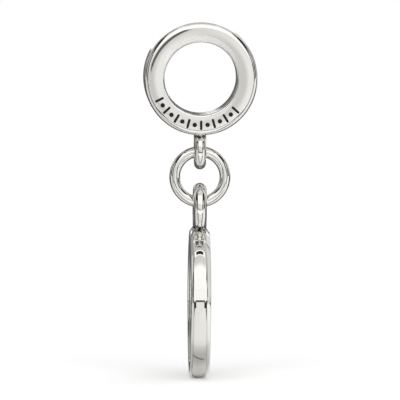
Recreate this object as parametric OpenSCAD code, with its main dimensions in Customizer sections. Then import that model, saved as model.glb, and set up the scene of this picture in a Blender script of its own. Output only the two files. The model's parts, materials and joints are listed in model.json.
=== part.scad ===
// A dangle charm: a slip-on bead with a soldered eye, a jump ring, and a round disc that
// hangs edge-on from its own soldered eye. Millimetres, +Z up. The origin is the centre
// of the bead's bore, whose axis is Y. The disc's flat faces look along X.

/* [Bead] */
// Diameter of the bore that slides onto a bracelet
bore_d = 4.5; // [3.5:0.1:7]
// Thickness of the wall around the bore
bead_wall = 1.27; // [1:0.01:2.5]
// Length along the bore
bead_len = 3.2; // [2:0.1:6]
// Rounding of the two outer edges
bead_edge_r = 0.35; // [0.1:0.01:0.45]
// Rounding of the bore's two edges
bore_edge_r = 0.13; // [0.05:0.01:0.3]
// How far each end face swells at its middle
face_crown = 0.05; // [0.02:0.01:0.12]

/* [Bead eye] */
// Outer diameter of the eye under the bead
bead_eye_d = 2.53; // [2.3:0.01:4]
// Wire diameter of the eye under the bead
bead_eye_wire = 0.73; // [0.5:0.01:0.8]
// Depth to which the eye is let into the bead
bead_eye_sink = 0.34; // [0.2:0.01:0.6]

/* [Jump ring] */
// Outer diameter of the jump ring
ring_d = 3.79; // [3.6:0.01:6]
// Wire diameter of the jump ring
ring_wire = 0.67; // [0.5:0.01:0.8]

/* [Disc eye] */
// Outer diameter of the eye on the disc
disc_eye_d = 3.16; // [2.9:0.01:5]
// Wire diameter of the eye on the disc
disc_eye_wire = 0.82; // [0.5:0.01:0.9]
// Depth to which the eye is let into the disc
disc_eye_sink = 0.42; // [0.2:0.01:0.7]

/* [Disc] */
// Diameter of the disc
disc_d = 9.36; // [7:0.01:20]
// Thickness of the disc
disc_t = 1.22; // [0.9:0.01:2]
// Bevel between the rim's band and the front face, which looks along -X
front_bevel = 0.14; // [0.05:0.01:0.3]
// Bevel between the rim's band and the back face
back_bevel = 0.25; // [0.05:0.01:0.3]
// How far the rim's band swells at its middle
band_crown = 0.08; // [0.02:0.01:0.15]
// Width of the raised border around the front face
border_w = 0.6; // [0.3:0.01:1.5]
// Depth of the front face's field below the border
field_depth = 0.12; // [0.05:0.01:0.4]

/* [Fit] */
// Clearance between linked wires
link_gap = 0.04; // [0.02:0.01:0.1]

/* [Hidden] */
$fn = 96;
silver = [0.8, 0.8, 0.79];

bore_r = bore_d / 2;
bead_r = bore_r + bead_wall;
disc_r = disc_d / 2;

// Radius on which a ring's wire is bent
bead_eye_bend_r = (bead_eye_d - bead_eye_wire) / 2;
ring_bend_r = (ring_d - ring_wire) / 2;
disc_eye_bend_r = (disc_eye_d - disc_eye_wire) / 2;

// Each wire hangs on the one above it, so every height follows from the bead down
bead_eye_z = -(bead_r - bead_eye_sink + bead_eye_d / 2);
ring_z = bead_eye_z - bead_eye_bend_r + (bead_eye_wire + ring_wire) / 2 + link_gap - ring_bend_r;
disc_eye_z = ring_z - ring_bend_r + (ring_wire + disc_eye_wire) / 2 + link_gap - disc_eye_bend_r;
disc_z = disc_eye_z - disc_eye_d / 2 + disc_eye_sink - disc_r;

// Radius of the arc that swells by rise over a chord
function arc_radius(chord, rise) = (chord * chord / 4 + rise * rise) / (2 * rise);

// A point moved along the ray from a centre until it lies r away from it
function on_circle(centre, p, r) = centre + (p - centre) * r / norm(p - centre);

// Wire bent into a closed ring around Z, measured over its outside
module wire_ring(outer_d, wire) {
    rotate_extrude() translate([(outer_d - wire) / 2, 0]) circle(d = wire);
}

// Half of the bead's section, from the middle of its length to one end, with the bore's
// axis at x = 0. Both corner arcs touch the face's arc smoothly.
module bead_half_section() {
    crown_r = arc_radius(bead_wall, face_crown);
    crown = [bore_r + bead_wall / 2, bead_len / 2 - crown_r];
    function corner(x, r) = [x, crown.y + sqrt(pow(crown_r - r, 2) - pow(x - crown.x, 2))];
    inner = corner(bore_r + bore_edge_r, bore_edge_r);
    outer = corner(bead_r - bead_edge_r, bead_edge_r);

    polygon([
        [bore_r, 0], [bead_r, 0], [bead_r, outer.y], outer,
        on_circle(crown, outer, crown_r), on_circle(crown, inner, crown_r),
        inner, [bore_r, inner.y]
    ]);
    translate(inner) circle(r = bore_edge_r);
    translate(outer) circle(r = bead_edge_r);
    intersection() {
        translate(crown) circle(r = crown_r);
        polygon([
            inner, outer,
            on_circle(crown, outer, crown_r * 2), on_circle(crown, inner, crown_r * 2)
        ]);
    }
}

// The disc's section, with its axis at x = 0 and its front face at the top
module disc_section() {
    half_t = disc_t / 2;
    band_r = disc_r - band_crown;
    band_top = half_t - front_bevel;
    band_low = back_bevel - half_t;
    band_mid = (band_top + band_low) / 2;
    crown_r = arc_radius(band_top - band_low, band_crown);
    field_r = band_r - front_bevel - border_w;

    polygon([
        [0, -half_t], [band_r - back_bevel, -half_t], [band_r, band_low],
        [band_r, band_top], [band_r - front_bevel, half_t], [field_r, half_t],
        [field_r - field_depth / 2, half_t - field_depth], [0, half_t - field_depth]
    ]);
    intersection() {
        translate([disc_r - crown_r, band_mid]) circle(r = crown_r);
        translate([band_r - back_bevel, band_low])
            square([back_bevel + 2 * band_crown, band_top - band_low]);
    }
}

module bead() {
    color(silver) {
        rotate([90, 0, 0]) rotate_extrude() {
            bead_half_section();
            mirror([0, 1]) bead_half_section();
        }
        translate([0, 0, bead_eye_z]) rotate([0, 90, 0]) wire_ring(bead_eye_d, bead_eye_wire);
    }
}

module jump_ring() {
    color(silver) translate([0, 0, ring_z]) rotate([90, 0, 0]) wire_ring(ring_d, ring_wire);
}

module drop() {
    color(silver) {
        translate([0, 0, disc_z]) rotate([0, -90, 0]) rotate_extrude() disc_section();
        translate([0, 0, disc_eye_z]) rotate([0, 90, 0]) wire_ring(disc_eye_d, disc_eye_wire);
    }
}

bead();
jump_ring();
drop();
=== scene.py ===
import json
import math
from collections import namedtuple

import bmesh
import bpy
import numpy as np
from mathutils import Matrix, Vector, noise


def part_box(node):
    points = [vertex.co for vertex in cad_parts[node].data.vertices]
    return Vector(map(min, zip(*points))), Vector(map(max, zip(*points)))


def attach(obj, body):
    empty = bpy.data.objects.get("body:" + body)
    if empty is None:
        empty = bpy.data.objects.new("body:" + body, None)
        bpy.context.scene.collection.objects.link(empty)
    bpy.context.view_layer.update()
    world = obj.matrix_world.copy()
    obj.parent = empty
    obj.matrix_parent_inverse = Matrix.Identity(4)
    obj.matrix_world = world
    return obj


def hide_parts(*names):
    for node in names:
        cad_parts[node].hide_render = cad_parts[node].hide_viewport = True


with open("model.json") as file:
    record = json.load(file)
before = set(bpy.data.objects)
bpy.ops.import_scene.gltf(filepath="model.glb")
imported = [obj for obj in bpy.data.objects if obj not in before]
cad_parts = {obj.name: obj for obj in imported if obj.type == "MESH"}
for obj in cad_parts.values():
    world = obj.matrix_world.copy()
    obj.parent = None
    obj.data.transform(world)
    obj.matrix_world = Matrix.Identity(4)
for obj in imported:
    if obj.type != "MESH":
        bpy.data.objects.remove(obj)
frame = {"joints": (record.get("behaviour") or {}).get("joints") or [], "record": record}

# A dangle charm of polished silver: a slip-on bead with a soldered eye, a jump ring, and a
# round disc that hangs edge-on from its own soldered eye. Every length is in metres.
MM = 0.001

# Sizes that the frame's boxes don't give
BEAD_EYE_D = 2.53 * MM
DISC_EYE_D = 3.16 * MM
DISC_EYE_WIRE = 0.82 * MM
BEAD_EDGE_R = 0.35 * MM
BORE_EDGE_R = 0.13 * MM
FACE_CROWN = 0.045 * MM
FRONT_BEVEL = 0.14 * MM
BACK_BEVEL = 0.25 * MM
BAND_CROWN = 0.08 * MM
BORDER_W = 0.6 * MM
FIELD_DEPTH = 0.12 * MM

# Radius to which polishing wears the disc's edges
WORN_EDGE_R = 0.1 * MM
# Spacing of the mesh along a section, and the steps around each round piece
SECTION_STEP = 0.07 * MM
LATHE_STEPS = 320
RING_STEPS = 256
WIRE_STEPS = 64
# How closely those steps gather where pieces are soldered or link, from 0 to 1
LATHE_PULL = 0.7
RING_PULL = 0.5
# Points closer together than this are one point
MERGE_DISTANCE = 0.0001 * MM

# How far the solder fills the corner between a wire and what it is soldered to
FILLET = 0.12 * MM
# How far from both surfaces the mesh is drawn onto the fillet, in rounds of smoothing and pulls
FILLET_REACH = 1.3 * FILLET
FILLET_ROUNDS = 8
FILLET_SMOOTHING = 0.4
FILLET_PULLS = 4
# How far from the corner the solder's surface is grainy, fading out between a half and one and
# a half times as far, and its grain
SOLDER_REACH = 0.2 * MM
SOLDER_GRAIN = 0.1 * MM
SOLDER_DEPTH = 0.035 * MM
# Waves that polishing by hand leaves in the metal
WAVE_LENGTH = 1.1 * MM
WAVE_DEPTH = 0.0015 * MM

# The engraved row on the bead's front face: bars and dots in turn, from one angle to
# another around the bore
MARK_COUNT = 15
MARK_ANGLES = (207.0, 318.0)
MARK_RADIUS = 2.88 * MM
MARK_DEPTH = 0.06 * MM
BAR_LENGTH = 0.6 * MM
BAR_WIDTH = 0.15 * MM
DOT_D = 0.28 * MM

# How the camera looks at the charm, in degrees and metres, and the width that it sees
CAMERA_AZIMUTH = -1.7
CAMERA_ELEVATION = 3.8
CAMERA_ROLL = 0.27
CAMERA_DISTANCE = 0.5
VIEW_WIDTH = 24.8 * MM
# Where the bore's centre falls in the image of 400 by 400 pixels
IMAGE_SIZE = 400
BORE_PIXEL = (199.7, 77.5)

X, Y, Z = Vector((1, 0, 0)), Vector((0, 1, 0)), Vector((0, 0, 1))
POINTS_AT_ONCE = 8192

# A wire bent into a closed ring, and a section turned around an axis. A lathe's profile
# holds (distance from the axis, distance along it) and keeps the metal on its right.
Ring = namedtuple("Ring", "centre axis bend_r wire_r")
Lathe = namedtuple("Lathe", "centre axis profile")


# Sections


def arc_radius(chord, rise):
    """Radius of the arc that swells by rise over a chord."""
    return (chord**2 / 4 + rise**2) / (2 * rise)


def arc(centre, radius, start, end, step=SECTION_STEP / 3):
    """Points on an arc from one angle to another, in radians, both ends included."""
    count = max(6, math.ceil(abs(end - start) * radius / step))
    angles = np.linspace(start, end, count + 1)
    return np.column_stack((centre[0] + radius * np.cos(angles), centre[1] + radius * np.sin(angles)))


def refined(points, step=SECTION_STEP):
    """The same outline with points added where two are further apart than step."""
    rows = [points[:1]]
    for start, end in zip(points, points[1:]):
        count = max(1, math.ceil(np.linalg.norm(end - start) / step))
        rows.append(start + (end - start) * np.arange(1, count + 1)[:, None] / count)
    return np.vstack(rows)


def worn(points, radius, steps=4):
    """The same outline with each inner corner rounded to radius."""
    rows = [points[:1]]
    for before, corner, after in zip(points, points[1:], points[2:]):
        back = (before - corner) / np.linalg.norm(before - corner)
        ahead = (after - corner) / np.linalg.norm(after - corner)
        turn = math.pi - math.acos(np.clip(back @ ahead, -1, 1))
        reach = radius * math.tan(turn / 2)
        start, end = corner + back * reach, corner + ahead * reach
        share = np.linspace(0, 1, steps + 1)[:, None]
        rows.append((1 - share) ** 2 * start + 2 * share * (1 - share) * corner + share**2 * end)
    rows.append(points[-1:])
    return np.vstack(rows)


def bead_profile(bore_r, bead_r, half_len):
    """The bead's whole section, from the middle of the bore round and back to it."""
    crown_r = arc_radius(bead_r - bore_r, FACE_CROWN)
    crown = np.array(((bore_r + bead_r) / 2, half_len - crown_r))

    def corner(x, r):
        return np.array((x, crown[1] + math.sqrt((crown_r - r) ** 2 - (x - crown[0]) ** 2)))

    inner = corner(bore_r + BORE_EDGE_R, BORE_EDGE_R)
    outer = corner(bead_r - BEAD_EDGE_R, BEAD_EDGE_R)
    to_inner = math.atan2(*(inner - crown)[::-1])
    to_outer = math.atan2(*(outer - crown)[::-1])
    half = np.vstack((
        refined(np.array(((bore_r, 0), (bore_r, inner[1]))))[:-1],
        arc(inner, BORE_EDGE_R, math.pi, to_inner)[:-1],
        arc(crown, crown_r, to_inner, to_outer)[:-1],
        arc(outer, BEAD_EDGE_R, to_outer, 0)[:-1],
        refined(np.array(((bead_r, outer[1]), (bead_r, 0)))),
    ))
    return np.vstack((half, half[-2::-1] * (1, -1)))


def disc_profile(disc_r, thickness):
    """The disc's section, from the middle of its front face round to the middle of its back."""
    half_t = thickness / 2
    band_r = disc_r - BAND_CROWN
    band_top = half_t - FRONT_BEVEL
    band_low = BACK_BEVEL - half_t
    crown_r = arc_radius(band_top - band_low, BAND_CROWN)
    crown = np.array((disc_r - crown_r, (band_top + band_low) / 2))
    lean = math.asin((band_top - crown[1]) / crown_r)
    field_r = band_r - FRONT_BEVEL - BORDER_W
    corners = np.vstack((
        ((0, half_t - FIELD_DEPTH), (field_r - FIELD_DEPTH / 2, half_t - FIELD_DEPTH)),
        ((field_r, half_t), (band_r - FRONT_BEVEL, half_t)),
        arc(crown, crown_r, lean, -lean),
        ((band_r - BACK_BEVEL, -half_t), (0, -half_t)),
    ))
    return refined(worn(corners, WORN_EDGE_R), SECTION_STEP * 2)


# Distance from the surfaces, and their outward normals


def unit(vectors):
    lengths = np.linalg.norm(vectors, axis=1)[:, None]
    return vectors / np.maximum(lengths, 1e-12)


def ring_field(ring, points):
    """Signed distances of points from a ring, and the ring's outward normals there."""
    axis = np.array(ring.axis)
    offset = points - np.array(ring.centre)
    across = unit(offset - (offset @ axis)[:, None] * axis)
    from_wire = offset - across * ring.bend_r
    return np.linalg.norm(from_wire, axis=1) - ring.wire_r, unit(from_wire)


def profile_normals(profile):
    """The outward normal at each point of a profile."""
    spans = unit(np.diff(profile, axis=0))
    lefts = np.column_stack((-spans[:, 1], spans[:, 0]))
    closed = np.allclose(profile[0], profile[-1])
    first, last = (lefts[-1], lefts[0]) if closed else (lefts[0], lefts[-1])
    return unit(np.vstack((first, lefts)) + np.vstack((lefts, last)))


def lathe_field(lathe, points):
    """Signed distances of points from a lathe, and the lathe's outward normals there."""
    axis = np.array(lathe.axis)
    profile, spans = lathe.profile, np.diff(lathe.profile, axis=0)
    normals = profile_normals(profile)
    closed = np.allclose(profile[0], profile[-1])
    distances, directions = [], []
    for first in range(0, len(points), POINTS_AT_ONCE):
        offset = points[first:first + POINTS_AT_ONCE] - np.array(lathe.centre)
        along = offset @ axis
        across = offset - along[:, None] * axis
        place = np.column_stack((np.linalg.norm(across, axis=1), along))
        corner = ((profile**2).sum(1) - 2 * place @ profile.T).argmin(1)
        gaps, leans = [], []
        for side in (-1, 0):
            span = (corner + side) % len(spans) if closed else np.clip(corner + side, 0, len(spans) - 1)
            share = ((place - profile[span]) * spans[span]).sum(1) / (spans[span] ** 2).sum(1)
            share = np.clip(share, 0, 1)[:, None]
            gaps.append(place - profile[span] - share * spans[span])
            leans.append(unit(normals[span] * (1 - share) + normals[span + 1] * share))
        lengths = [np.linalg.norm(gap, axis=1) for gap in gaps]
        second = (lengths[1] < lengths[0])[:, None]
        gap, normal = np.where(second, gaps[1], gaps[0]), np.where(second, leans[1], leans[0])
        distances.append(np.minimum(*lengths) * np.sign((gap * normal).sum(1)))
        directions.append(normal[:, :1] * unit(across) + normal[:, 1:] * axis)
    return np.concatenate(distances), np.vstack(directions)


def field(shape, points):
    return (ring_field if isinstance(shape, Ring) else lathe_field)(shape, points)


def soldered_field(shapes, points):
    """The distances and normals of shapes joined by a fillet, and how near the solder is."""
    distance, normal = field(shapes[0], points)
    solder = np.zeros(len(points))
    for shape in shapes[1:]:
        other, other_normal = field(shape, points)
        solder = np.clip(1.5 - np.maximum(abs(distance), abs(other)) / SOLDER_REACH, 0, 1)
        share = np.clip(0.5 + 0.5 * (other - distance) / FILLET, 0, 1)
        distance = other + (distance - other) * share - FILLET * share * (1 - share)
        normal = normal * share[:, None] + other_normal * (1 - share)[:, None]
    return distance, unit(normal), solder


def ripple(points, length):
    """Heights between about -1 and 1 of a random ripple at points, and its slopes."""
    nudge = 0.02
    scaled = [Vector(p) / length for p in points.tolist()]
    heights = np.array([noise.noise(p) for p in scaled])
    slopes = [[noise.noise(p + axis * nudge) for p in scaled] for axis in (X, Y, Z)]
    return heights, (np.array(slopes).T - heights[:, None]) / (nudge * length)


def worked_surface(shapes, points):
    """Heights of the metal's waves and of the solder's grain at points, and the normals."""
    _, normal, solder = soldered_field(shapes, points)
    height, slope = ripple(points, WAVE_LENGTH)
    height, slope = height * WAVE_DEPTH, slope * WAVE_DEPTH
    rows = np.flatnonzero(solder)
    if len(rows):
        grain, grain_slope = ripple(points[rows], SOLDER_GRAIN)
        height[rows] += grain * solder[rows] * SOLDER_DEPTH
        slope[rows] += grain_slope * solder[rows][:, None] * SOLDER_DEPTH
    slope -= (slope * normal).sum(1)[:, None] * normal
    return height, unit(normal - slope), solder


# Meshes


def add_object(name, mesh):
    piece = bpy.data.objects.new(name, mesh)
    bpy.context.scene.collection.objects.link(piece)
    return piece


def grid_object(name, rows, closed_columns):
    """A closed surface through a grid of points, whose rows close on themselves."""
    mesh = bpy.data.meshes.new(name)
    bm = bmesh.new()
    grid = [[bm.verts.new(p) for p in row] for row in rows]
    pairs = list(zip(grid, grid[1:] + grid[:1]))
    for row, following in pairs if closed_columns else pairs[:-1]:
        for i in range(len(row)):
            bm.faces.new((row[i - 1], row[i], following[i], following[i - 1]))
    bmesh.ops.remove_doubles(bm, verts=bm.verts, dist=MERGE_DISTANCE)
    bmesh.ops.recalc_face_normals(bm, faces=bm.faces)
    bm.to_mesh(mesh)
    bm.free()
    return add_object(name, mesh)


def gathered_angles(count, focus, pull):
    """Angles round a circle, closer together near the angle focus as pull goes from 0 to 1."""
    even = np.linspace(-math.pi, math.pi, count, endpoint=False)
    return focus + even - pull * np.sin(even)


def cross_axes(axis):
    """Two directions that stand square to an axis and to each other, the second of them up."""
    return (Y if abs(axis.x) > 0.5 else X), Z


def lathe_object(name, lathe, focus):
    first, second = cross_axes(lathe.axis)
    angles = gathered_angles(LATHE_STEPS, focus, LATHE_PULL)
    closed = np.allclose(lathe.profile[0], lathe.profile[-1])
    profile = lathe.profile[:-1] if closed else lathe.profile
    rows = []
    for radius, along in profile.tolist():
        spokes = [first * math.cos(a) + second * math.sin(a) for a in angles]
        rows.append([lathe.centre + lathe.axis * along + spoke * radius for spoke in spokes])
    return grid_object(name, rows, closed)


def ring_object(name, ring, focus):
    first, second = cross_axes(ring.axis)
    turns = [2 * math.pi * i / WIRE_STEPS for i in range(WIRE_STEPS)]
    rows = []
    for angle in gathered_angles(RING_STEPS, focus, RING_PULL):
        spoke = first * math.cos(angle) + second * math.sin(angle)
        core = ring.centre + spoke * ring.bend_r
        rows.append([core + (spoke * math.cos(t) + ring.axis * math.sin(t)) * ring.wire_r for t in turns])
    return grid_object(name, rows, True)


def cut_or_join(piece, tool, operation):
    """Applies a boolean of tool to piece, and removes tool."""
    modifier = piece.modifiers.new("boolean", "BOOLEAN")
    modifier.operation = operation
    modifier.solver = "EXACT"
    modifier.material_mode = "TRANSFER"
    modifier.object = tool
    depsgraph = bpy.context.evaluated_depsgraph_get()
    mesh = bpy.data.meshes.new_from_object(piece.evaluated_get(depsgraph))
    piece.modifiers.clear()
    piece.data = mesh
    bpy.data.objects.remove(tool)


def mesh_points(mesh):
    points = np.empty(len(mesh.vertices) * 3)
    mesh.vertices.foreach_get("co", points)
    return points.reshape(-1, 3)


def draw_fillet(piece, shapes):
    """Moves the points near a soldered corner onto its fillet, evenly spaced."""
    bm = bmesh.new()
    bm.from_mesh(piece.data)
    bmesh.ops.triangulate(bm, faces=bm.faces)
    points = np.array([v.co for v in bm.verts])
    first, _ = field(shapes[0], points)
    second, _ = field(shapes[1], points)
    near = np.flatnonzero(np.maximum(abs(first), abs(second)) < FILLET_REACH)
    verts = list(np.array(bm.verts, object)[near])
    all_ways = {"use_axis_x": True, "use_axis_y": True, "use_axis_z": True}
    for turn in range(FILLET_ROUNDS):
        if turn:
            bmesh.ops.smooth_vert(bm, verts=verts, factor=FILLET_SMOOTHING, **all_ways)
        for _ in range(FILLET_PULLS):
            places = np.array([v.co for v in verts])
            distance, normal, _ = soldered_field(shapes, places)
            for v, place in zip(verts, places - normal * distance[:, None]):
                v.co = place
    bm.to_mesh(piece.data)
    bm.free()


def work_metal(piece, shapes):
    """Gives a piece the waves and solder grain of worked metal, and marks its solder."""
    mesh = piece.data
    points = mesh_points(mesh)
    height, _, solder = worked_surface(shapes, points)
    _, normal, _ = soldered_field(shapes, points)
    mesh.vertices.foreach_set("co", (points + normal * height[:, None]).ravel())
    mark = mesh.attributes.new("solder", "FLOAT", "POINT")
    mark.data.foreach_set("value", solder)


def smooth_normals(piece, shapes):
    """Shades a piece by its true surface, and the walls of its engraved marks flat."""
    mesh = piece.data
    _, normals, _ = worked_surface(shapes, mesh_points(mesh))
    corners = np.empty(len(mesh.loops), int)
    mesh.loops.foreach_get("vertex_index", corners)
    corner_normals = normals[corners]
    for face in mesh.polygons:
        if face.material_index:
            corner_normals[face.loop_indices] = face.normal
    mesh.shade_smooth()
    mesh.normals_split_custom_set(corner_normals)


# The engraved row


def bar_outline():
    """A bar with round ends, as (along the radius, across it)."""
    reach = (BAR_LENGTH - BAR_WIDTH) / 2
    ends = [arc((side * reach, 0), BAR_WIDTH / 2, start, start + math.pi) for side, start in
            ((1, -math.pi / 2), (-1, math.pi / 2))]
    return np.vstack(ends)


def dot_outline():
    return arc((0, 0), DOT_D / 2, 0, 2 * math.pi)[:-1]


def add_prism(bm, outline, low, high):
    """A prism along Y over an outline of points in the XZ plane."""
    front = [bm.verts.new((x, low, z)) for x, z in outline]
    back = [bm.verts.new((x, high, z)) for x, z in outline]
    bm.faces.new(front)
    bm.faces.new(back[::-1])
    for i in range(len(front)):
        bm.faces.new((front[i], front[i - 1], back[i - 1], back[i]))


def engraved_marks(front_y, material):
    """The tool that cuts a plain row of bars and dots into the bead's front face."""
    bm = bmesh.new()
    for i, degrees in enumerate(np.linspace(*MARK_ANGLES, MARK_COUNT)):
        angle = math.radians(degrees)
        outward = np.array((math.cos(angle), math.sin(angle)))
        sideways = np.array((-outward[1], outward[0]))
        outline = dot_outline() if i % 2 else bar_outline()
        places = (MARK_RADIUS + outline[:, :1]) * outward + outline[:, 1:] * sideways
        add_prism(bm, places, front_y - MARK_DEPTH * 2, front_y + MARK_DEPTH)
    bmesh.ops.recalc_face_normals(bm, faces=bm.faces)
    mesh = bpy.data.meshes.new("marks")
    bm.to_mesh(mesh)
    bm.free()
    mesh.materials.append(material)
    return add_object("marks", mesh)


# Materials


class Tree:
    """Adds nodes to one node tree and links them as they are made."""

    def __init__(self, tree):
        self.tree = tree
        tree.nodes.clear()

    def add(self, kind, inputs=(), **settings):
        node = self.tree.nodes.new(kind)
        for name, value in settings.items():
            setattr(node, name, value)
        for name, value in dict(inputs).items():
            self.put(node.inputs[name], value)
        return node

    def put(self, socket, value):
        if isinstance(value, bpy.types.NodeSocket):
            self.tree.links.new(value, socket)
        else:
            socket.default_value = value

    def math(self, operation, *values):
        node = self.add("ShaderNodeMath", enumerate(values), operation=operation)
        return node.outputs[0]

    def product(self, *factors):
        result = factors[0]
        for factor in factors[1:]:
            result = self.math("MULTIPLY", result, factor)
        return result

    def ramp(self, value, low, high, to_low, to_high, smooth=False):
        """value mapped from one range onto another, and held at its ends."""
        inputs = {"Value": value, "From Min": low, "From Max": high, "To Min": to_low, "To Max": to_high}
        shape = "SMOOTHSTEP" if smooth else "LINEAR"
        return self.add("ShaderNodeMapRange", inputs, interpolation_type=shape).outputs[0]

    def mix(self, share, first, second):
        """The colours first and second, mixed by share."""
        node = self.add("ShaderNodeMix", data_type="RGBA")
        for socket, value in zip((node.inputs[0], node.inputs[6], node.inputs[7]), (share, first, second)):
            self.put(socket, value)
        return node.outputs[2]


def grey(value, warmth=0.0):
    return (value, value * (1 - warmth / 4), value * (1 - warmth), 1)


def new_material(name):
    material = bpy.data.materials.new(name)
    material.use_nodes = True
    return material, Tree(material.node_tree)


def silver_material():
    """Bright rhodium-plated silver with faint polishing marks, duller where it is soldered, and with black
    pits of painted shade over the solder in the soldered corner.
    """
    material, tree = new_material("polished_silver")
    place = tree.add("ShaderNodeTexCoord").outputs["Object"]
    solder = tree.add("ShaderNodeAttribute", attribute_name="solder").outputs["Fac"]
    cloud = tree.add("ShaderNodeTexNoise", {"Vector": place, "Scale": 700, "Detail": 4}).outputs["Fac"]
    stretch = tree.add("ShaderNodeMapping", {"Vector": place, "Scale": (1, 1, 0.12)}).outputs[0]
    lines = tree.add("ShaderNodeTexNoise", {"Vector": stretch, "Scale": 22000, "Detail": 3}).outputs["Fac"]
    bright = tree.mix(cloud, grey(0.78, 0.055), grey(0.85, 0.06))
    dull = tree.mix(solder, bright, grey(0.72, 0.06))
    # Painted shade: black pits over the solder stand in for the shade and dark reflections in the soldered
    # corner.
    pits = tree.add("ShaderNodeTexNoise", {"Vector": place, "Scale": 7000, "Detail": 2}).outputs["Fac"]
    pit_shade = tree.math("MULTIPLY", solder, tree.ramp(pits, 0.48, 0.52, 0, 1))
    colour = tree.mix(pit_shade, dull, grey(0.015))
    sheen = tree.ramp(cloud, 0.3, 0.7, 0.035, 0.06)
    roughness = tree.math("ADD", sheen, tree.math("MULTIPLY", solder, 0.06))
    bump = tree.add("ShaderNodeBump", {"Height": lines, "Strength": 0.35, "Distance": 0.6e-6})
    shader = tree.add("ShaderNodeBsdfPrincipled", {
        "Base Color": colour, "Metallic": 1.0, "Roughness": roughness, "Normal": bump.outputs[0],
    })
    tree.add("ShaderNodeOutputMaterial", {"Surface": shader.outputs[0]})
    return material


def oxidised_material():
    """The black that is left in the engraved marks."""
    material, tree = new_material("oxidised_silver")
    place = tree.add("ShaderNodeTexCoord").outputs["Object"]
    grain = tree.add("ShaderNodeTexNoise", {"Vector": place, "Scale": 14000, "Detail": 4}).outputs["Fac"]
    colour = tree.mix(grain, grey(0.006), grey(0.03))
    bump = tree.add("ShaderNodeBump", {"Height": grain, "Strength": 0.5, "Distance": 4e-6})
    shader = tree.add("ShaderNodeBsdfPrincipled", {
        "Base Color": colour, "Metallic": 0.6, "Roughness": tree.ramp(grain, 0.3, 0.7, 0.35, 0.6),
        "Normal": bump.outputs[0],
    })
    tree.add("ShaderNodeOutputMaterial", {"Surface": shader.outputs[0]})
    return material


# Pieces


def finish_piece(piece, shapes, name):
    """Shades a finished piece, and lets it ride on its body and stand for its node."""
    smooth_normals(piece, shapes)
    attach(piece, name)
    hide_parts(name)


def joint_z(name):
    return next(j for j in frame["joints"] if j["name"] == name)["pos_m"][2]


def bead_shapes():
    """The barrel and the eye under it."""
    low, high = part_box("bead")
    bore = next(m for m in frame["record"]["mounts"] if m["name"] == "bore")
    profile = bead_profile(bore["dims"]["r_mm"] * MM, high.z, high.y)
    wire_z = joint_z("ring_swing")
    wire_r = wire_z - low.z
    bend_r = BEAD_EYE_D / 2 - wire_r
    return Lathe(Vector(), -Y, profile), Ring(Z * (wire_z + bend_r), X, bend_r, wire_r)


def jump_ring_shapes():
    low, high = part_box("jump_ring")
    wire_r = (high.y - low.y) / 2
    return (Ring(Z * (low.z + high.z) / 2, Y, (high.x - low.x) / 2 - wire_r, wire_r),)


def drop_shapes():
    """The disc and the eye on top of it."""
    low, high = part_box("drop")
    disc_r = (high.y - low.y) / 2
    wire_r = DISC_EYE_WIRE / 2
    disc = Lathe(Z * (low.z + disc_r), -X, disc_profile(disc_r, high.x - low.x))
    return disc, Ring(Z * (high.z - DISC_EYE_D / 2), X, DISC_EYE_D / 2 - wire_r, wire_r)


def soldered_piece(name, shapes, joint_angle, material):
    """A lathe with an eye soldered to it at an angle round the lathe."""
    piece = lathe_object(name, shapes[0], joint_angle)
    eye = ring_object("eye", shapes[1], joint_angle + math.pi)
    for part in (piece, eye):
        part.data.materials.append(material)
    cut_or_join(piece, eye, "UNION")
    draw_fillet(piece, shapes)
    return piece


def make_bead(silver, oxidised):
    shapes = bead_shapes()
    piece = soldered_piece("silver_bead", shapes, -math.pi / 2, silver)
    work_metal(piece, shapes)
    cut_or_join(piece, engraved_marks(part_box("bead")[0].y, oxidised), "DIFFERENCE")
    finish_piece(piece, shapes, "bead")


def make_jump_ring(silver):
    shapes = jump_ring_shapes()
    piece = ring_object("silver_jump_ring", shapes[0], math.pi / 2)
    piece.data.materials.append(silver)
    work_metal(piece, shapes)
    finish_piece(piece, shapes, "jump_ring")


def make_drop(silver):
    shapes = drop_shapes()
    piece = soldered_piece("silver_drop", shapes, math.pi / 2, silver)
    work_metal(piece, shapes)
    finish_piece(piece, shapes, "drop")


# The studio

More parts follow.
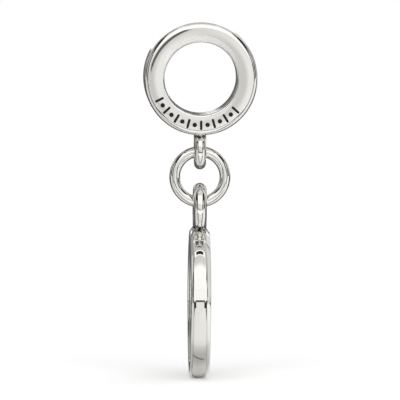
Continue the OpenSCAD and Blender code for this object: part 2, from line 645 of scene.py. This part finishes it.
# What surrounds the charm, later rows over earlier ones. rise is the angle over the
# charm from the front horizon (0) past the zenith (90) to the back horizon (180), and
# below the front horizon it is negative. side is the angle to the left (negative) or
# right of the charm's middle plane. Both are in degrees.
Panel = namedtuple("Panel", "rise_from rise_to side_from side_to brightness soft")
PANELS = (
    # room over and behind the charm, darker on the left and low down
    Panel(93, 180, -90, 90, 0.62, 10),
    Panel(-180, -90, -68, 68, 0.14, 8),
    Panel(150, 180, -68, 68, 0.14, 10),
    Panel(60, 180, -90, -30, 0.4, 8),
    Panel(90, 150, 65, 90, 0.85, 5),
    # room in front, brighter on the right
    Panel(-90, 5, -90, 90, 0.71, 4),
    Panel(-90, 5, 6, 90, 1.0, 8),
    # the large soft light over the camera, dimmer at both ends
    Panel(8, 70, -43, 43, 0.8, 10),
    Panel(6, 28, -43, 43, 0.95, 4),
    Panel(28, 58, -43, 43, 1.25, 12),
    # black flags beside the light, with bright strips outside them, and more of both overhead
    Panel(-8, 92, -47, -38, 0.03, 2),
    Panel(-8, 92, 38, 56, 0.03, 2),
    Panel(-8, 62, -75, -55, 0.85, 2),
    Panel(-8, 62, -55, -47, 0.1, 2),
    Panel(-8, 62, 56, 68, 0.9, 2),
    Panel(62, 108, -74, -46, 0.03, 4),
    Panel(62, 108, 46, 71, 0.03, 4),
    Panel(112, 142, -75, -52, 0.75, 3),
    Panel(112, 142, 40, 75, 0.8, 3),
    Panel(150, 175, -74, -46, 0.2, 4),
    Panel(150, 175, 46, 71, 0.2, 4),
    # narrow black flags far out to the sides
    Panel(-8, 30, 66, 88, 0.05, 3),
    Panel(-8, 40, -88, -70, 0.05, 3),
    Panel(30, 98, 70, 84, 0.04, 4),
    Panel(40, 98, -84, -70, 0.04, 4),
    # the gap in the overhead light, with the light's bright rim around it
    Panel(81.5, 91, -24, 24, 1.3, 1),
    Panel(83.5, 89, -17, 17, 0.03, 0.7),
)
SURROUNDINGS = 0.75

# Cards that stand near the charm, at a distance in front of it (negative behind it). The
# corners are (x, z) and everything but the brightness is in millimetres.
Card = namedtuple("Card", "name distance corners brightness")
CARDS = (
    Card("front_light", 35, ((-5, 6), (33, 6), (33, 40), (-33, 40), (-33, 14)), 1.25),
    Card("white_card", 12, ((-11, -12.6), (11, -12.6), (11, -9.3), (-11, -9.3)), 1.15),
    Card("pale_card", 25, ((-10, -18.4), (10, -18.4), (10, -12.1), (-10, -12.1)), 0.95),
    Card("pale_card_edge", 25, ((-12, -12.1), (12, -12.1), (12, -9.5), (-12, -9.5)), 0.05),
    Card("left_flag", 25, ((-22, -16.2), (-10, -16.2), (-10, -12.1), (-22, -12.1)), 0.03),
    Card("right_flag", 25, ((10, -16.2), (22, -16.2), (22, -12.1), (10, -12.1)), 0.03),
    Card("slanted_flag", 30, ((-6.9, 0.6), (-5.2, -0.8), (-0.2, 4.5), (-1.7, 5.9)), 0.12),
    Card("small_card", 8, ((-4, -11.2), (4, -11.2), (4, -8.9), (-4, -8.9)), 1.2),
    Card("side_card", -20, ((10, -6), (34, -6), (34, 4.5), (10, 4.5)), 0.85),
    Card("back_light", -6, ((-8, 4.4), (8, 4.4), (8, 12), (-8, 12)), 1.15),
    Card("back_card", -60, ((-30, 1.5), (30, 1.5), (30, 10), (-30, 10)), 1.15),
)

# The floor reaches further to the front than to the back
FLOOR_X = (-400 * MM, 400 * MM)
FLOOR_Y = (-150 * MM, 60 * MM)
FLOOR_GAP = 0.02 * MM
FLOOR_WHITE = 1.66
# How much light the floor's shapes of painted shade leave where the charm mirrors them, and where the
# painted slanted line lies:
# how far from the point under the charm, and how much nearer for each step to the right
STRIPE_PAINT = 0.15
SHADE_PATCH_PAINT = 0.64
LINE_PAINT = 0.4
LINE_AWAY = 3.27 * MM
LINE_SLANT = 0.22


def build_world():
    world = bpy.data.worlds.new("studio")
    bpy.context.scene.world = world
    world.use_nodes = True
    tree = Tree(world.node_tree)
    direction = tree.add("ShaderNodeTexCoord").outputs["Generated"]
    parts = tree.add("ShaderNodeSeparateXYZ", {"Vector": direction}).outputs
    to_front = tree.math("MULTIPLY", parts[1], -1.0)
    rise = tree.math("DEGREES", tree.math("ARCTAN2", parts[2], to_front))
    side = tree.math("DEGREES", tree.math("ARCSINE", parts[0]))
    light = SURROUNDINGS
    for panel in PANELS:
        inside = tree.product(
            tree.ramp(rise, panel.rise_from - panel.soft, panel.rise_from, 0, 1, True),
            tree.ramp(rise, panel.rise_to, panel.rise_to + panel.soft, 1, 0, True),
            tree.ramp(side, panel.side_from - panel.soft, panel.side_from, 0, 1, True),
            tree.ramp(side, panel.side_to, panel.side_to + panel.soft, 1, 0, True),
        )
        change = tree.math("SUBTRACT", panel.brightness, light)
        light = tree.math("ADD", light, tree.math("MULTIPLY", inside, change))
    studio = tree.add("ShaderNodeBackground", {"Color": grey(1), "Strength": light})
    backdrop = tree.add("ShaderNodeBackground", {"Color": grey(1), "Strength": 1.0})
    seen = tree.add("ShaderNodeLightPath").outputs["Is Camera Ray"]
    both = tree.add("ShaderNodeMixShader", {0: seen, 1: studio.outputs[0], 2: backdrop.outputs[0]})
    tree.add("ShaderNodeOutputWorld", {"Surface": both.outputs[0]})


def add_sheet(name, corners, material):
    """A flat sheet of the stage."""
    mesh = bpy.data.meshes.new(name)
    mesh.from_pydata(corners, [], [range(len(corners))])
    mesh.materials.append(material)
    sheet = add_object(name, mesh)
    return sheet


def floor_paint(tree, z):
    """How brightly the charm mirrors a floor at height z, as painted light and shade: painted light on the
    right and a little right under the charm, and painted shade behind the charm and close to it. A painted
    dark stripe runs off to each side, and in front of the disc lies a dim patch of painted shade with a
    thin slanted line of painted shade across it."""
    place = tree.add("ShaderNodeTexCoord").outputs["Object"]
    x, y, _ = tree.add("ShaderNodeSeparateXYZ", {"Vector": place}).outputs
    away = tree.add("ShaderNodeVectorMath", {0: place, 1: (0, 0, z)}, operation="DISTANCE").outputs["Value"]
    to_front, to_side = tree.math("MULTIPLY", y, -1.0), tree.math("ABSOLUTE", x)
    turn = tree.math("DEGREES", tree.math("ARCTAN2", to_side, to_front))
    stripe = tree.product(
        tree.ramp(turn, 30, 33, 0, 1),
        tree.ramp(turn, 42, 46, 1, 0.3),
        tree.ramp(turn, 58, 66, 1, 0),
    )
    # Painted shade: a dim patch in front of the disc, where the charm mirrors the floor close to it
    shade_patch = tree.product(
        tree.ramp(away, 2 * MM, 3 * MM, 0, 1),
        tree.ramp(away, 3.8 * MM, 5.2 * MM, 1, 0),
        tree.ramp(turn, 40, 55, 1, 0),
    )
    slanted = tree.math("ADD", away, tree.math("MULTIPLY", x, LINE_SLANT))
    off_line = tree.math("ABSOLUTE", tree.math("SUBTRACT", slanted, LINE_AWAY))
    line = tree.product(
        tree.ramp(off_line, 0.03 * MM, 0.16 * MM, 1, 0),
        tree.ramp(turn, 35, 50, 1, 0),
        tree.ramp(x, 0.4 * MM, 0.9 * MM, 1, 0),
    )
    # Painted light on the right and right under the charm, painted shade behind it, close to it, and in the
    # stripes, patch and line
    return tree.product(
        tree.ramp(x, -20 * MM, 20 * MM, 1.2, 1.6),
        tree.ramp(y, -100 * MM, -40 * MM, 0.95, 1.0),
        tree.ramp(y, 0.0, 6 * MM, 1.0, 0.15),
        tree.ramp(away, 0.5 * MM, 1.9 * MM, 1.12, 1.0),
        tree.ramp(away, 4.8 * MM, 6.3 * MM, 0.97, 1.11),
        tree.ramp(stripe, 0.0, 1.0, 1.0, STRIPE_PAINT),
        tree.ramp(shade_patch, 0.0, 1.0, 1.0, SHADE_PATCH_PAINT),
        tree.ramp(line, 0.0, 1.0, 1.0, LINE_PAINT),
    )


def add_floor():
    """A plain pale floor, which looks white to the camera where nothing shades it, while the charm mirrors
    it with painted light and shade.
    """
    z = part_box("drop")[0].z - FLOOR_GAP
    (left, right), (front, back) = FLOOR_X, FLOOR_Y
    material, tree = new_material("pale_floor")
    seen = tree.add("ShaderNodeLightPath").outputs["Is Camera Ray"]
    colour = tree.mix(seen, floor_paint(tree, z), grey(FLOOR_WHITE))
    shader = tree.add("ShaderNodeBsdfDiffuse", {"Color": colour})
    tree.add("ShaderNodeOutputMaterial", {"Surface": shader.outputs[0]})
    add_sheet("floor", [(left, front, z), (right, front, z), (right, back, z), (left, back, z)], material)


def glow_material(name, brightness):
    material, tree = new_material(name)
    shader = tree.add("ShaderNodeEmission", {"Color": grey(1), "Strength": brightness})
    tree.add("ShaderNodeOutputMaterial", {"Surface": shader.outputs[0]})
    return material


def add_cards():
    """Cards that the metal mirrors, and that neither show nor throw a shadow."""
    for card in CARDS:
        corners = [(x * MM, -card.distance * MM, z * MM) for x, z in card.corners]
        sheet = add_sheet(card.name, corners, glow_material(card.name, card.brightness))
        sheet.visible_camera = False
        sheet.visible_shadow = False
        sheet.visible_diffuse = False


def add_camera():
    azimuth, elevation = math.radians(CAMERA_AZIMUTH), math.radians(CAMERA_ELEVATION)
    level = Vector((math.sin(azimuth), -math.cos(azimuth), 0))
    backward = level * math.cos(elevation) + Z * math.sin(elevation)
    right = Z.cross(backward).normalized()
    up = backward.cross(right)
    pixel = VIEW_WIDTH / IMAGE_SIZE
    pixels_right, pixels_down = IMAGE_SIZE / 2 - BORE_PIXEL[0], IMAGE_SIZE / 2 - BORE_PIXEL[1]
    target = (right * pixels_right - up * pixels_down) * pixel
    data = bpy.data.cameras.new("camera")
    data.lens = data.sensor_width * CAMERA_DISTANCE / VIEW_WIDTH
    data.clip_start = 0.01
    camera = bpy.data.objects.new("camera", data)
    camera.location = target + backward * CAMERA_DISTANCE
    turn = Matrix.Rotation(math.radians(CAMERA_ROLL), 3, backward)
    camera.rotation_euler = (turn @ Matrix((right, up, backward)).transposed()).to_euler()
    bpy.context.scene.collection.objects.link(camera)
    bpy.context.scene.camera = camera


def main():
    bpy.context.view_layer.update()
    add_camera()
    silver, oxidised = silver_material(), oxidised_material()
    make_bead(silver, oxidised)
    make_jump_ring(silver)
    make_drop(silver)
    build_world()
    add_floor()
    add_cards()
    bpy.context.scene.view_settings.view_transform = "Standard"


main()
